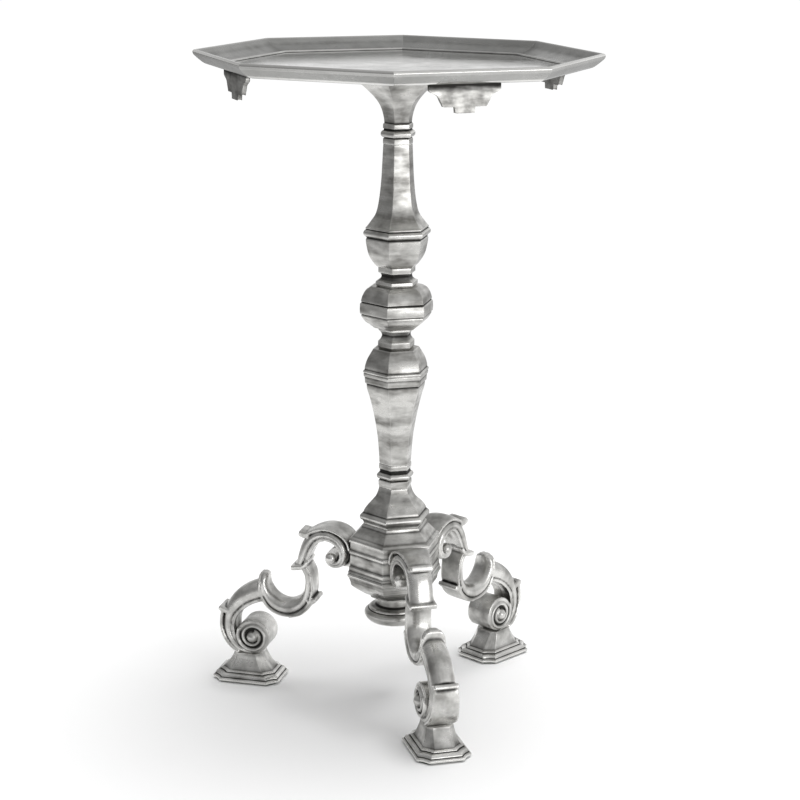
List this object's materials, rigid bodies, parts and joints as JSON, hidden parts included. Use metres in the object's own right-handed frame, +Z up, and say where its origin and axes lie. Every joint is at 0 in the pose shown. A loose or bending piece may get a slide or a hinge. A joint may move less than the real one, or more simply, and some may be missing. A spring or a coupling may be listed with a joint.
{
  "type": "tray table",
  "caption": "Eight-sided dished tray, lifting off a six-sided moulded column that stands on scroll legs with flared feet.",
  "frame": {"origin": "on the column's axis, at the floor under the feet", "axes": "+Z up along the column; +X and +Y point to corners of the tray"},
  "size_m": [0.454, 0.454, 0.75],
  "materials": {
    "tray_silver": "silver-plated brass, polished floor and satin wall",
    "cast_silver": "antique silver plate on cast brass, dark in the grooves and wiped bright on the edges",
    "leg_silver": "antique silver plate on cast brass, brighter on the rounded faces",
    "steel": "plain steel",
    "felt": "dark green felt"
  },
  "bodies": {
    "pedestal": {"capital": "cast_silver", "upper_baluster": "cast_silver", "upper_collar": "cast_silver", "centre_knop": "cast_silver", "lower_collar": "cast_silver", "lower_baluster": "cast_silver", "ring_collar": "cast_silver", "bell_foot": "cast_silver", "hub_cover": "cast_silver", "hub": "cast_silver", "finial": "cast_silver", "tie_rod": "steel", "top_washer": "steel", "top_nut": "steel", "leg_1": "leg_silver", "leg_2": "leg_silver", "leg_3": "leg_silver", "leg_bolts": "steel", "foot_1": "leg_silver", "foot_2": "leg_silver", "foot_3": "leg_silver", "foot_screws": "steel", "foot_pads": "felt"},
    "seat": {"felt_seat": "felt"},
    "tray": {"tray": "tray_silver", "tray_bracket_1": "cast_silver", "tray_bracket_2": "cast_silver", "tray_bracket_3": "cast_silver", "tray_bracket_4": "cast_silver", "tray_boss": "tray_silver"}
  },
  "joints": [
    {"name": "tray_turn", "type": "hinge", "parent": "pedestal", "child": "seat", "pos_m": [0, 0, 0.732], "axis": [0, 0, 1], "continuous": true},
    {"name": "tray_lift", "type": "slide", "parent": "seat", "child": "tray", "axis": [0, 0, 1], "range_m": [0, 0.12]}
  ]
}
